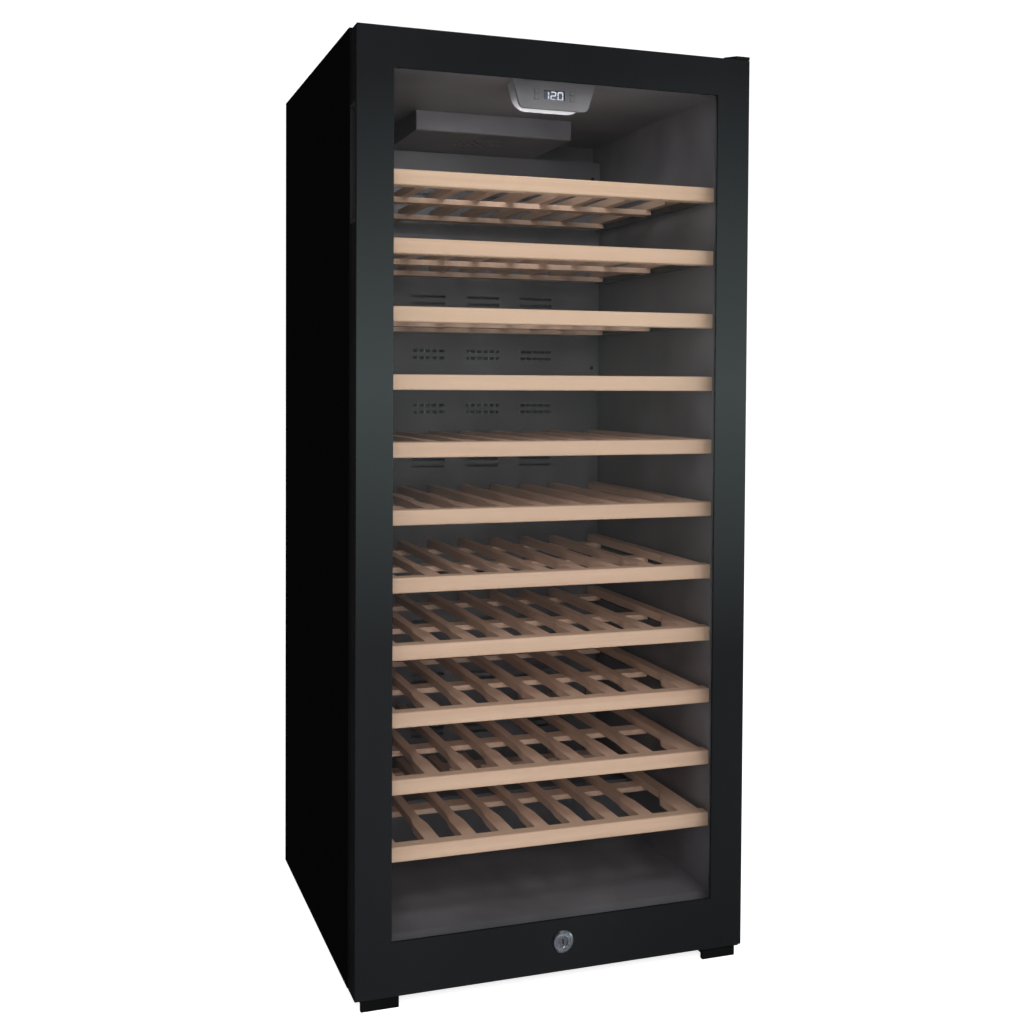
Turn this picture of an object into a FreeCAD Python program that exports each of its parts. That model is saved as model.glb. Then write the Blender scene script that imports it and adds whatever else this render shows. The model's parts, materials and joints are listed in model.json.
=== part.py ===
import FreeCAD, Part
import math
import os

# Free-standing wine cooler with one full-height glass door.
# Millimetres. Origin on the floor, in the middle of the footprint.
# +X is the hinge side (right), -Y is the front, +Z is up.

V = FreeCAD.Vector
X_AXIS = V(1, 0, 0)
Y_AXIS = V(0, 1, 0)
Z_AXIS = V(0, 0, 1)

# ---- driving dimensions: overall ----
WIDTH = 595.0
BODY_DEPTH = 570.0          # door glass to back panel
LOCK_PROUD = 3.0            # the lock's flange stands in front of the glass
HEIGHT = 1350.0
HALF_W = WIDTH / 2
BACK_Y = (BODY_DEPTH + LOCK_PROUD) / 2
GLASS_Y = BACK_Y - BODY_DEPTH
SHEET = 1.2                 # steel sheet of the cabinet
CABINET_Z = 15.5            # underside of the base pan
CLEAR = 0.3                 # gap between neighbouring pieces
FRONT_RETURN = 22.0         # the side panels' folded edges
REAR_RETURN = 16.0
GLAND_X = 220.0             # mains cord gland in the back panel
GLAND_Z = 60.0
LOUVRE_ROWS = 6
LOUVRE_COLUMNS = 5
LOUVRE_X0 = -195.0
LOUVRE_Z0 = 34.0
LOUVRE_W = 52.0
LOUVRE_H = 6.0

# ---- door ----
DOOR_T = 43.0               # glass face to the back of the inner frame
DOOR_GAP = 4.0              # inner frame to the cabinet's front plane
DOOR_Z0 = 16.0
DOOR_Z1 = 1345.0
DOOR_CORNER_R = 1.5
GLASS_EDGE_R = 0.8
GLASS_T = 4.0
FRAME_SPLIT = 27.0          # outer frame ends and inner frame starts, from the glass face
SIDE_BAR = 25.0             # width of the frame's upright bars
BOTTOM_BAR = 56.0
TOP_BAR = 38.0
SPACER_T = 12.0             # gap between the two panes
SPACER_W = 8.0
GASKET_W = 13.0
GASKET_GROOVE = 4.0
GASKET_INSET = 10.5         # from the door's edge to the gasket
HINGE_BEVEL = 3.0           # on the rear edge beside the hinge, so that the open door clears the shelves

# ---- cabinet cavity ----
CAB_Y = GLASS_Y + DOOR_T + DOOR_GAP
LINER_T = 1.5
CAVITY_X = 266.0
CAVITY_Z0 = 84.0
CAVITY_Z1 = 1300.0
CAVITY_Y1 = 241.5
HUMP_Y = 62.0               # front of the step over the compressor
HUMP_Z = 172.0
LINER_FLANGE = 9.0
LINER_APRON = 12.5          # the flange is deeper below the cavity
MACHINE_X = 240.0           # compressor compartment
MACHINE_Y = 96.0
MACHINE_Z = 142.0
COMPRESSOR_X = 95.0
COMPRESSOR_Y = 196.0
CONDENSER_X0 = -210.0
CONDENSER_X1 = -40.0
CONDENSER_Y = 220.0
EVAPORATOR_X = 180.0
EVAPORATOR_Y = 224.0
EVAPORATOR_Z = 760.0

# ---- shelves ----
SHELF_COUNT = 11
SHELF_TOP_1 = 206.5         # top of the lowest shelf
SHELF_PITCH = 95.5
FRONT_H = 22.0
FRONT_T = 20.0
FRONT_X = 264.8
SLAT_T = 12.0
SLAT_NECK_W = 22.0          # slat width under the bottle necks
SLAT_BODY_W = 14.0          # slat width between the bottle bodies
SLAT_PITCH = 56.5
SLATS_EACH_SIDE = 3
TAPER_Y0 = -152.0           # the slats narrow between these two planes
TAPER_Y1 = -122.0
RAIL_X0 = 224.0
RAIL_X1 = 258.0
RAIL_NARROWING = 14.0
RACK_Y1 = 190.0
CROSS_W = 30.0
CROSS_T = 8.0
CROSS_X = 247.0
CROSS_STARTS = (-52.0, 146.0)
RUNNER_W = 15.0
RUNNER_H = 8.0

# ---- hinge and lock ----
HINGE_X = 288.0
HINGE_Y = GLASS_Y + 22.0
PIN_R = 4.0
PIN_PLAY = 0.08
BUSH_R = 6.5
BUSH_L = 16.0
PLATE_T = 2.5
TOP_PLATE_X0 = HINGE_X - 17.0
TOP_PLATE_X1 = HINGE_X + 7.0
COVER_X0 = HINGE_X - 25.0
COVER_CHAMFER = 13.0
COVER_WALL = 1.5
LOCK_X = 7.5
LOCK_Z = 59.5
LOCK_FLANGE_R = 16.2
LOCK_BODY_R = 10.0
LOCK_BODY_L = 34.0
BARREL_R = 7.0
CAM_LENGTH = 18.0           # from the barrel's axis to the cam's tip
CAM_W = 9.0
CAM_T = 3.0
STRIKE_W = 48.0
STRIKE_BELOW = 24.0         # the strike reaches this far below the lock's axis
STRIKE_ABOVE = 11.5
STRIKE_D = 13.0
STRIKE_WALL = 2.0
TOE_DEPTH = STRIKE_D + 3.0  # empty channel behind the front rails

# ---- recessed grip in the door's free edge ----
GRIP_Z0 = 1080.0
GRIP_Z1 = 1242.0
GRIP_Y0 = GLASS_Y + 6.0
GRIP_Y1 = GLASS_Y + 37.5
GRIP_DEPTH = 17.0
GRIP_WALL = 1.5

# ---- control housing and ceiling fan box ----
PANEL_X = 5.0
PANEL_Z0 = 1260.0
PANEL_BOTTOM_W = 104.0
PANEL_TOP_W = 128.0
PANEL_DEPTH = 6.0
PANEL_EDGE_R = 0.7
LENS_INSET = 2.5            # the lamp cover is this much smaller than the housing's face
LENS_DEPTH = 44.0
LENS_WALL = 1.5
LENS_EDGE_R = 24.0
LENS_REAR_R = 20.0
DISPLAY_W = 33.0
DISPLAY_H = 13.0
DISPLAY_Z = 1281.0
BUTTON_X = 28.0
BUTTON_W = 7.0
BUTTON_H = 6.0
BUTTON_PITCH = 9.0
FAN_BOX_X = 133.0
FAN_BOX_Y0 = 20.0
FAN_BOX_Z0 = 1268.0
FAN_X = 0.0
FAN_Y = 110.0
FAN_R = 42.0
FAN_Z = 1279.0
DUCT_Y = 204.0

# ---- feet ----
FOOT_W = 54.0
FOOT_INSET = 9.5
FOOT_L = 85.0
FOOT_LEG_T = 8.0            # depth of the leg under the door
FOOT_FLANGE_T = 5.0         # the flange that runs back under the cabinet
REAR_FOOT_X = 245.0
REAR_FOOT_Y = BACK_Y - 45.0
REAR_FOOT_R = 20.0
REAR_PAD_T = 10.0


def box(x0, x1, y0, y1, z0, z1):
    """Block between two corners."""
    return Part.makeBox(x1 - x0, y1 - y0, z1 - z0, V(x0, y0, z0))


def rod(radius, length, start, axis):
    """Cylinder from a start point along an axis."""
    return Part.makeCylinder(radius, length, start, axis)


def fuse(shapes):
    """One solid from several that touch."""
    joined = shapes[0].multiFuse(shapes[1:])
    return joined.removeSplitter()


def cut(shape, tools):
    """The shape with every tool taken away."""
    result = shape
    for tool in tools:
        result = result.cut(tool)
    return result


def edges_along(shape, axis, test):
    """Straight edges along an axis whose middle passes a test."""
    found = []
    for edge in shape.Edges:
        ends = [v.Point for v in edge.Vertexes]
        if len(ends) != 2 or not isinstance(edge.Curve, (Part.Line, Part.LineSegment)):
            continue
        along = (ends[1] - ends[0]).normalize()
        middle = (ends[0] + ends[1]) * 0.5
        if abs(abs(along.dot(axis)) - 1) < 1e-6 and test(middle):
            found.append(edge)
    return found


def rounded_slab(x0, x1, y0, y1, z0, z1, radius, axis):
    """Block whose edges along one axis are rounded."""
    slab = box(x0, x1, y0, y1, z0, z1)
    return slab.makeFillet(radius, edges_along(slab, axis, lambda p: True))


def frame_ring(y0, y1, inner_x, inner_z0, inner_z1):
    """Door-sized ring between two planes, with rounded outer corners."""
    outer = rounded_slab(-HALF_W, HALF_W, y0, y1, DOOR_Z0, DOOR_Z1, DOOR_CORNER_R, Y_AXIS)
    return outer.cut(box(-inner_x, inner_x, y0 - 1, y1 + 1, inner_z0, inner_z1))


# ---- cabinet ----

def side_panel(side):
    """Folded steel side: wall, front return and rear return."""
    top = HEIGHT - SHEET
    wall = box(HALF_W - SHEET, HALF_W, CAB_Y, BACK_Y, CABINET_Z, top)
    front = box(HALF_W - FRONT_RETURN, HALF_W, CAB_Y, CAB_Y + SHEET, CABINET_Z, top)
    rear = box(HALF_W - REAR_RETURN, HALF_W, BACK_Y - SHEET, BACK_Y, CABINET_Z, top)
    panel = fuse([wall, front, rear])
    corner = edges_along(panel, Z_AXIS, lambda p: p.x > HALF_W - 0.1)
    panel = panel.makeFillet(1.0, corner)
    if side > 0:
        pocket = box(TOP_PLATE_X0 - 1, HALF_W + 1, CAB_Y - 1, CAB_Y + SHEET + 1, DOOR_Z1, HEIGHT)
        return panel.cut(pocket)
    return panel.mirror(V(0, 0, 0), X_AXIS)


def top_panel():
    """Steel lid with a folded front lip that leaves room for the hinge bracket."""
    lid = box(-HALF_W, HALF_W, CAB_Y, BACK_Y, HEIGHT - SHEET, HEIGHT)
    lip_x = HALF_W - FRONT_RETURN - CLEAR
    lip_z = CAVITY_Z1 + LINER_FLANGE + CLEAR
    lip = box(-lip_x, lip_x, CAB_Y, CAB_Y + SHEET, lip_z, HEIGHT)
    pocket = box(TOP_PLATE_X0 - 1, HALF_W, CAB_Y - 1, CAB_Y + SHEET + 1, DOOR_Z1, HEIGHT - SHEET)
    return fuse([lid, lip.cut(pocket)])


def back_panel():
    """Flat steel back with louvre slots over the compressor compartment."""
    half = HALF_W - REAR_RETURN - CLEAR
    plate = box(-half, half, BACK_Y - SHEET, BACK_Y, CABINET_Z, HEIGHT - SHEET)
    slots = []
    for row in range(LOUVRE_ROWS):
        for column in range(LOUVRE_COLUMNS):
            x = LOUVRE_X0 + (LOUVRE_W + 18) * column
            z = LOUVRE_Z0 + (LOUVRE_H + 10) * row
            slots.append(rounded_slab(x, x + LOUVRE_W, BACK_Y - 5, BACK_Y + 5, z, z + LOUVRE_H, 2.9, Y_AXIS))
    gland_hole = rod(9.0, 10, V(GLAND_X, BACK_Y - 5, GLAND_Z), Y_AXIS)
    return plate.cut(Part.makeCompound(slots + [gland_hole]))


def base_pan():
    """Stepped steel floor with the compressor compartment, and the two front rails on it."""
    half = HALF_W - SHEET - CLEAR
    y1 = BACK_Y - SHEET - CLEAR
    z1 = CABINET_Z + SHEET
    rail_x = HALF_W - FRONT_RETURN - CLEAR
    behind_returns = CAB_Y + SHEET + CLEAR
    floor = box(-half, half, behind_returns, y1, CABINET_Z, z1)
    front_strip = box(-rail_x, rail_x, CAB_Y, behind_returns + 1, CABINET_Z, z1)
    outer = box(-MACHINE_X, MACHINE_X, MACHINE_Y, y1, z1, MACHINE_Z)
    inner = box(-MACHINE_X + SHEET, MACHINE_X - SHEET, MACHINE_Y + SHEET, y1 + 1, z1, MACHINE_Z - SHEET)
    pieces = [fuse([floor, front_strip, outer.cut(inner)])]
    beside_strike = STRIKE_W / 2 + CLEAR
    for x0, x1 in ((-rail_x, LOCK_X - beside_strike), (LOCK_X + beside_strike, rail_x)):
        pieces.append(box(x0, x1, CAB_Y, CAB_Y + SHEET, z1, CAVITY_Z0 - LINER_APRON - CLEAR))
    return pieces


def strike_block(grow):
    """Outline of the strike cup, grown by a clearance."""
    return box(LOCK_X - STRIKE_W / 2 - grow, LOCK_X + STRIKE_W / 2 + grow,
               CAB_Y - grow, CAB_Y + STRIKE_D + grow,
               LOCK_Z - STRIKE_BELOW - grow, LOCK_Z + STRIKE_ABOVE + grow)


def lock_strike():
    """Cup between the front rails that the lock's cam turns behind, on a face plate."""
    inside = strike_block(-STRIKE_WALL)
    plate = box(LOCK_X - STRIKE_W / 2, LOCK_X + STRIKE_W / 2, CAB_Y, CAB_Y + STRIKE_WALL,
                CABINET_Z + SHEET + CLEAR, LOCK_Z - STRIKE_BELOW)
    mouth = box(LOCK_X - 8, LOCK_X + 8, CAB_Y - 1, CAB_Y + STRIKE_WALL + 1,
                LOCK_Z - CAM_LENGTH - 3, LOCK_Z + 9)
    return cut(fuse([strike_block(0), plate]), [inside, mouth])


def liner_solid(grow):
    """Room taken by the cavity and its step, grown outwards by a wall."""
    room = box(-CAVITY_X - grow, CAVITY_X + grow, CAB_Y, CAVITY_Y1 + grow,
               CAVITY_Z0 - grow, CAVITY_Z1 + grow)
    step = box(-CAVITY_X - grow - 1, CAVITY_X + grow + 1, HUMP_Y + grow, CAVITY_Y1 + grow + 1,
               CAVITY_Z0 - grow - 1, HUMP_Z - grow)
    return room.cut(step)


def inner_liner():
    """Moulded cavity with a front flange and a step over the compressor."""
    shell = liner_solid(LINER_T).cut(liner_solid(0))
    flange = box(-CAVITY_X - LINER_FLANGE, CAVITY_X + LINER_FLANGE, CAB_Y, CAB_Y + LINER_T,
                 CAVITY_Z0 - LINER_APRON, CAVITY_Z1 + LINER_FLANGE)
    flange = flange.cut(liner_solid(0))
    return fuse([shell, flange])


def hinge_pocket():
    """Room for the top hinge plate inside the cabinet."""
    return box(TOP_PLATE_X0 - 1, HALF_W, CAB_Y - 1, CAB_Y + 70, DOOR_Z1, HEIGHT - SHEET)


def foam_core():
    """Insulation between the steel skin and the liner."""
    half = HALF_W - SHEET
    block = box(-half, half, CAB_Y + LINER_T, BACK_Y - SHEET, CABINET_Z + SHEET, HEIGHT - SHEET)
    machine = box(-MACHINE_X, MACHINE_X, MACHINE_Y, BACK_Y, CABINET_Z, MACHINE_Z)
    toe_channel = box(-MACHINE_X, MACHINE_X, CAB_Y, CAB_Y + TOE_DEPTH, CABINET_Z, CAVITY_Z0 - LINER_T)
    return cut(block, [liner_solid(LINER_T), machine, toe_channel, hinge_pocket()])


def front_foot_x(side):
    """Left edge of a front foot."""
    return side * (HALF_W - FOOT_INSET - FOOT_W / 2) - FOOT_W / 2


def feet():
    """Two front feet whose legs stand under the door, and two round rear ones."""
    y0 = GLASS_Y + 2
    pieces = []
    for side, top in ((-1, CABINET_Z), (1, CABINET_Z - PLATE_T)):
        x0 = front_foot_x(side)
        leg = rounded_slab(x0, x0 + FOOT_W, y0, y0 + FOOT_LEG_T, 0, top, 1.5, Z_AXIS)
        flange = box(x0, x0 + FOOT_W, y0 + FOOT_LEG_T / 2, y0 + FOOT_L, top - FOOT_FLANGE_T, top)
        pieces.append(fuse([leg, flange]))
    for side in (-1, 1):
        pad = rod(REAR_FOOT_R, REAR_PAD_T, V(side * REAR_FOOT_X, REAR_FOOT_Y, 0), Z_AXIS)
        stem = rod(8, CABINET_Z - REAR_PAD_T, V(side * REAR_FOOT_X, REAR_FOOT_Y, REAR_PAD_T), Z_AXIS)
        pieces.append(fuse([pad, stem]))
    return pieces


def bottom_hinge_bracket():
    """Plate on the right front foot with the pin that carries the door."""
    y0 = GLASS_Y + 4
    plate = box(front_foot_x(1), TOP_PLATE_X1, y0, y0 + FOOT_L - 2, CABINET_Z - PLATE_T, CABINET_Z)
    pin = rod(PIN_R, PLATE_T + BUSH_L - 1, V(HINGE_X, HINGE_Y, CABINET_Z - PLATE_T), Z_AXIS)
    return fuse([plate, pin])


def top_hinge_bracket():
    """Plate under the lid with the pin that steadies the door."""
    z0 = DOOR_Z1 + 1.0
    y1 = CAB_Y + 66
    plate = box(TOP_PLATE_X0, TOP_PLATE_X1, HINGE_Y - 13, y1, z0, z0 + PLATE_T)
    nose = edges_along(plate, Z_AXIS, lambda p: p.y < HINGE_Y)
    plate = plate.makeFillet(5, nose)
    pin = rod(PIN_R, BUSH_L + 1, V(HINGE_X, HINGE_Y, z0 - BUSH_L), Z_AXIS)
    return fuse([plate, pin])


def cover_block(inset):
    """Outline of the hinge cover, shrunk by a wall, with its free corner cut off."""
    block = box(COVER_X0 + inset, HALF_W - inset, GLASS_Y + 0.5 + inset, CAB_Y - CLEAR,
                DOOR_Z1 + 0.6, HEIGHT - inset)
    corner = edges_along(block, Z_AXIS, lambda p: p.x < HINGE_X - 10 and p.y < HINGE_Y)
    return block.makeChamfer(COVER_CHAMFER - 0.6 * inset, corner)


def hinge_cover():
    """Cap over the top hinge plate, level with the lid and open below and behind."""
    inside = cover_block(COVER_WALL)
    open_below = inside.copy()
    open_below.translate(V(0, 1, -1))
    return cut(cover_block(0), [inside, open_below])


def shelf_runners():
    """A pair of side runners for each shelf."""
    runners = []
    for index in range(SHELF_COUNT):
        top = shelf_top(index) - SLAT_T - CLEAR
        for side in (-1, 1):
            x_mid = side * (CAVITY_X - RUNNER_W / 2)
            runners.append(box(x_mid - RUNNER_W / 2, x_mid + RUNNER_W / 2,
                               CAB_Y + FRONT_T + 4, RACK_Y1, top - RUNNER_H, top))
    return runners


# ---- cooling ----

def compressor():
    """Sealed compressor shell on a mounting plate, with its pipe stubs."""
    x, y = COMPRESSOR_X, COMPRESSOR_Y
    z0 = CABINET_Z + SHEET
    plate = rounded_slab(x - 85, x + 85, y - 60, y + 60, z0 + 8, z0 + 11, 10, Z_AXIS)
    pads = []
    for dx in (-70, 70):
        for dy in (-45, 45):
            pads.append(rod(9, 8, V(x + dx, y + dy, z0), Z_AXIS))
    lower = rounded_slab(x - 68, x + 68, y - 52, y + 52, z0 + 11, z0 + 62, 40, Z_AXIS)
    rim = rounded_slab(x - 71, x + 71, y - 55, y + 55, z0 + 58, z0 + 62, 43, Z_AXIS)
    upper = rounded_slab(x - 66, x + 66, y - 50, y + 50, z0 + 62, z0 + 108, 40, Z_AXIS)
    crown = [e for e in upper.Edges if abs(e.CenterOfMass.z - (z0 + 108)) < 0.01]
    upper = upper.makeFillet(18, crown)
    stub = rod(4, 30, V(x - 90, y, z0 + 80), X_AXIS)
    return fuse([plate, lower, rim, upper, stub] + pads)


def finned_coil(x0, x1, y_mid, z0, rows, row_pitch, depth, fins):
    """Tubes along X through a stack of thin fins."""
    pieces = []
    height = row_pitch * rows
    for row in range(rows):
        z = z0 + row_pitch * (row + 0.5)
        pieces.append(rod(4, x1 - x0, V(x0, y_mid, z), X_AXIS))
    step = (x1 - x0 - 16) / (fins - 1)
    for index in range(fins):
        x = x0 + 8 + index * step
        pieces.append(box(x - 0.6, x + 0.6, y_mid - depth / 2, y_mid + depth / 2, z0, z0 + height))
    for row in range(rows - 1):
        x = x1 - 3 if row % 2 == 0 else x0 + 3
        z = z0 + row_pitch * (row + 0.5)
        pieces.append(rod(3.5, row_pitch, V(x, y_mid, z), Z_AXIS))
    return fuse(pieces)


def condenser():
    """Finned condenser beside the compressor."""
    return finned_coil(CONDENSER_X0, CONDENSER_X1, CONDENSER_Y, CABINET_Z + SHEET + 2, 4, 26, 50, 18)


def evaporator():
    """Finned evaporator behind the rear cover."""
    return finned_coil(-EVAPORATOR_X, EVAPORATOR_X, EVAPORATOR_Y, EVAPORATOR_Z, 8, 28, 24, 30)


def rear_cover():
    """Slotted cover over the evaporator on the cavity's back wall."""
    half = CAVITY_X - 2
    top = FAN_BOX_Z0 - 1
    plate = box(-half, half, DUCT_Y, DUCT_Y + 2, HUMP_Z + 1, top)
    flanges = []
    for side in (-1, 1):
        x = side * (half - 1)
        flanges.append(box(x - 1, x + 1, DUCT_Y, CAVITY_Y1 - 1, HUMP_Z + 1, top))
    slots = []
    for index in range(SHELF_COUNT):
        z = shelf_top(index) + 30
        for x in (-160, -60, 40, 140):
            slots.append(box(x - 30, x + 30, DUCT_Y - 1, DUCT_Y + 3, z, z + 5))
            slots.append(box(x - 30, x + 30, DUCT_Y - 1, DUCT_Y + 3, z + 12, z + 17))
    return fuse([plate] + flanges).cut(Part.makeCompound(slots))


def fan_housing():
    """Shallow box under the ceiling with a round fan opening below."""
    y1 = CAVITY_Y1 - 1
    top = CAVITY_Z1 - CLEAR
    outer = box(-FAN_BOX_X, FAN_BOX_X, FAN_BOX_Y0, y1, FAN_BOX_Z0, top)
    rim = edges_along(outer, X_AXIS, lambda p: p.y < FAN_BOX_Y0 + 1 and p.z < FAN_BOX_Z0 + 1)
    outer = outer.makeFillet(4, rim)
    inner = box(-FAN_BOX_X + 2, FAN_BOX_X - 2, FAN_BOX_Y0 + 2, y1 + 1, FAN_BOX_Z0 + 2, top + 1)
    shell = outer.cut(inner)
    holes = []
    for ring in range(1, 4):
        count = 6 * ring
        radius = 13.0 * ring
        for index in range(count):
            angle = 2 * math.pi * index / count
            x = FAN_X + radius * math.cos(angle)
            y = FAN_Y + radius * math.sin(angle)
            holes.append(rod(4.4, 6, V(x, y, FAN_BOX_Z0 - 2), Z_AXIS))
    shell = shell.cut(Part.makeCompound(holes))
    post = rod(4, top - FAN_Z - 12, V(FAN_X, FAN_Y, FAN_Z + 12), Z_AXIS)
    bar = box(-FAN_BOX_X + 2, FAN_BOX_X - 2, FAN_Y - 5, FAN_Y + 5, top - 3, top)
    spindle = rod(1.5, 14, V(FAN_X, FAN_Y, FAN_Z), Z_AXIS)
    return fuse([shell, bar, post, spindle])


def circulation_fan():
    """Hub with five pitched blades on a vertical spindle."""
    hub = rod(13, 10, V(FAN_X, FAN_Y, FAN_Z), Z_AXIS)
    blades = []
    for index in range(5):
        blade = box(9, FAN_R - 2, -9, 9, -0.8, 0.8)
        blade.rotate(V(0, 0, 0), X_AXIS, 22)
        blade.rotate(V(0, 0, 0), Z_AXIS, 72 * index)
        blade.translate(V(FAN_X, FAN_Y, FAN_Z + 5))
        blades.append(blade)
    rotor = fuse([hub] + blades)
    return rotor.cut(rod(1.5 + PIN_PLAY, 20, V(FAN_X, FAN_Y, FAN_Z - 2), Z_AXIS))


def cord_gland():
    """Flanged gland in the back panel for the mains cord."""
    body = rod(8.7, 16, V(GLAND_X, BACK_Y - 16, GLAND_Z), Y_AXIS)
    flange = rod(12, 3, V(GLAND_X, BACK_Y - SHEET - 3, GLAND_Z), Y_AXIS)
    bore = rod(3.5, 40, V(GLAND_X, BACK_Y - 30, GLAND_Z), Y_AXIS)
    return fuse([body, flange]).cut(bore)


# ---- controls ----

def panel_wedge(y0, y1, inset):
    """Tapered housing outline between two planes, shrunk by a wall."""
    top_z = CAVITY_Z1 - CLEAR
    low = PANEL_BOTTOM_W / 2 - inset
    high = PANEL_TOP_W / 2 - inset
    corners = [V(PANEL_X - low, y0, PANEL_Z0 + inset), V(PANEL_X + low, y0, PANEL_Z0 + inset),
               V(PANEL_X + high, y0, top_z), V(PANEL_X - high, y0, top_z)]
    face = Part.Face(Part.makePolygon(corners + corners[:1]))
    wedge = face.extrude(V(0, y1 - y0, 0))
    lower = edges_along(wedge, Y_AXIS, lambda p: p.z < PANEL_Z0 + inset + 1)
    return wedge.makeFillet(9 - inset, lower)


def button_places():
    """Name, x and z of each push button."""
    return [("power_button", PANEL_X - BUTTON_X, DISPLAY_Z + BUTTON_PITCH / 2),
            ("light_button", PANEL_X - BUTTON_X, DISPLAY_Z - BUTTON_PITCH / 2),
            ("warmer_button", PANEL_X + BUTTON_X, DISPLAY_Z + BUTTON_PITCH / 2),
            ("colder_button", PANEL_X + BUTTON_X, DISPLAY_Z - BUTTON_PITCH / 2)]


def control_housing():
    """Shallow housing that hangs from the ceiling behind the door, open at its back."""
    y0 = CAB_Y + 1
    face = panel_wedge(y0, y0 + PANEL_DEPTH, 0)
    front = [e for e in face.Edges if abs(e.CenterOfMass.y - y0) < 0.01 and e.CenterOfMass.z < CAVITY_Z1 - 1]
    shell = face.makeFillet(PANEL_EDGE_R, front).cut(panel_wedge(y0 + 2.5, y0 + PANEL_DEPTH + 1, 2))
    openings = [box(PANEL_X - DISPLAY_W / 2, PANEL_X + DISPLAY_W / 2, y0 - 1, y0 + 4,
                    DISPLAY_Z - DISPLAY_H / 2, DISPLAY_Z + DISPLAY_H / 2)]
    for _, x, z in button_places():
        openings.append(box(x - BUTTON_W / 2 - CLEAR, x + BUTTON_W / 2 + CLEAR, y0 - 1, y0 + 4,
                            z - BUTTON_H / 2 - CLEAR, z + BUTTON_H / 2 + CLEAR))
    return cut(shell, openings)


def display_window():
    """Clear window with a flange behind the housing's face."""
    y0 = CAB_Y + 1.3
    pane = box(PANEL_X - DISPLAY_W / 2 + 0.1, PANEL_X + DISPLAY_W / 2 - 0.1, y0, y0 + 2.2,
               DISPLAY_Z - DISPLAY_H / 2 + 0.1, DISPLAY_Z + DISPLAY_H / 2 - 0.1)
    flange = box(PANEL_X - DISPLAY_W / 2 - 1.5, PANEL_X + DISPLAY_W / 2 + 1.5, y0 + 2.2, y0 + 3.4,
                 DISPLAY_Z - DISPLAY_H / 2 - 1.5, DISPLAY_Z + DISPLAY_H / 2 + 1.5)
    return fuse([pane, flange])


def control_board():
    """Circuit board with the display block and four switches."""
    y0 = CAB_Y + 9
    board = box(PANEL_X - 40, PANEL_X + 40, y0, y0 + 1.6, PANEL_Z0 + 8, CAVITY_Z1 - 6)
    block_x = DISPLAY_W / 2 - CLEAR
    block_z = DISPLAY_H / 2 - CLEAR
    digits = box(PANEL_X - block_x, PANEL_X + block_x, y0 - 3.5, y0, DISPLAY_Z - block_z, DISPLAY_Z + block_z)
    switches = []
    for _, x, z in button_places():
        switches.append(rod(1.5, 1.2, V(x, y0 - 1.2, z), Y_AXIS))
    return fuse([board, digits] + switches)


def push_button(x, z):
    """Push cap with a retaining flange."""
    y0 = CAB_Y + 0.2
    cap = rounded_slab(x - BUTTON_W / 2, x + BUTTON_W / 2, y0, y0 + 4, z - BUTTON_H / 2,
                       z + BUTTON_H / 2, 1.2, Y_AXIS)
    flange = box(x - BUTTON_W / 2 - 0.8, x + BUTTON_W / 2 + 0.8, y0 + 3.6, y0 + 4.6,
                 z - BUTTON_H / 2 - 0.8, z + BUTTON_H / 2 + 0.8)
    return fuse([cap, flange])


def lens_block(inset):
    """Rounded outline of the lamp cover, shrunk by a wall."""
    y0 = CAB_Y + 1 + PANEL_DEPTH + CLEAR
    y1 = y0 + LENS_DEPTH - inset
    z0 = PANEL_Z0 + 1 + inset
    top_z = CAVITY_Z1 - CLEAR
    low = PANEL_BOTTOM_W / 2 - LENS_INSET - inset
    high = PANEL_TOP_W / 2 - LENS_INSET - inset
    corners = [V(PANEL_X - low, y0, z0), V(PANEL_X + low, y0, z0),
               V(PANEL_X + high, y0, top_z), V(PANEL_X - high, y0, top_z)]
    block = Part.Face(Part.makePolygon(corners + corners[:1])).extrude(V(0, y1 - y0, 0))
    lower = edges_along(block, Y_AXIS, lambda p: p.z < z0 + 1)
    block = block.makeFillet(LENS_EDGE_R - inset, lower)
    rear = [e for e in block.Edges if abs(e.CenterOfMass.y - y1) < 0.01 and e.CenterOfMass.z < top_z - 1]
    return block.makeFillet(LENS_REAR_R - inset, rear)


def light_lens():
    """Bowl-shaped lamp cover behind the control housing, open to its back and to the ceiling."""
    inside = lens_block(LENS_WALL)
    towards_housing = inside.copy()
    towards_housing.translate(V(0, -1, 1))
    return cut(lens_block(0), [inside, towards_housing])


# ---- door ----

def hinge_holes():
    """Bores for the two hinge bushes."""
    low = rod(BUSH_R + 0.05, BUSH_L + 1, V(HINGE_X, HINGE_Y, DOOR_Z0 - 1), Z_AXIS)
    high = rod(BUSH_R + 0.05, BUSH_L + 1, V(HINGE_X, HINGE_Y, DOOR_Z1 - BUSH_L), Z_AXIS)
    return [low, high]


def grip_room(grow):
    """Cup of the grip with its flange rebate, grown by a clearance."""
    cup = box(-HALF_W - 1, -HALF_W + GRIP_DEPTH + grow, GRIP_Y0 + 2 - grow, GRIP_Y1 - 2 + grow,
              GRIP_Z0 + 3 - grow, GRIP_Z1 - 3 + grow)
    rebate = box(-HALF_W - 1, -HALF_W + 1.2 + grow, GRIP_Y0 - grow, GRIP_Y1 + grow,
                 GRIP_Z0 - grow, GRIP_Z1 + grow)
    return cup.fuse(rebate)


def lock_hole(radius):
    """Bore along Y through the door for the lock."""
    return rod(radius, 80, V(LOCK_X, GLASS_Y - 10, LOCK_Z), Y_AXIS)


def door_outer_frame():
    """Front frame behind the glass."""
    ring = frame_ring(GLASS_Y + GLASS_T, GLASS_Y + FRAME_SPLIT, HALF_W - SIDE_BAR,
                      DOOR_Z0 + BOTTOM_BAR, DOOR_Z1 - TOP_BAR)
    return cut(ring, hinge_holes() + [grip_room(0.1), lock_hole(LOCK_BODY_R + 0.1)])


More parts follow.
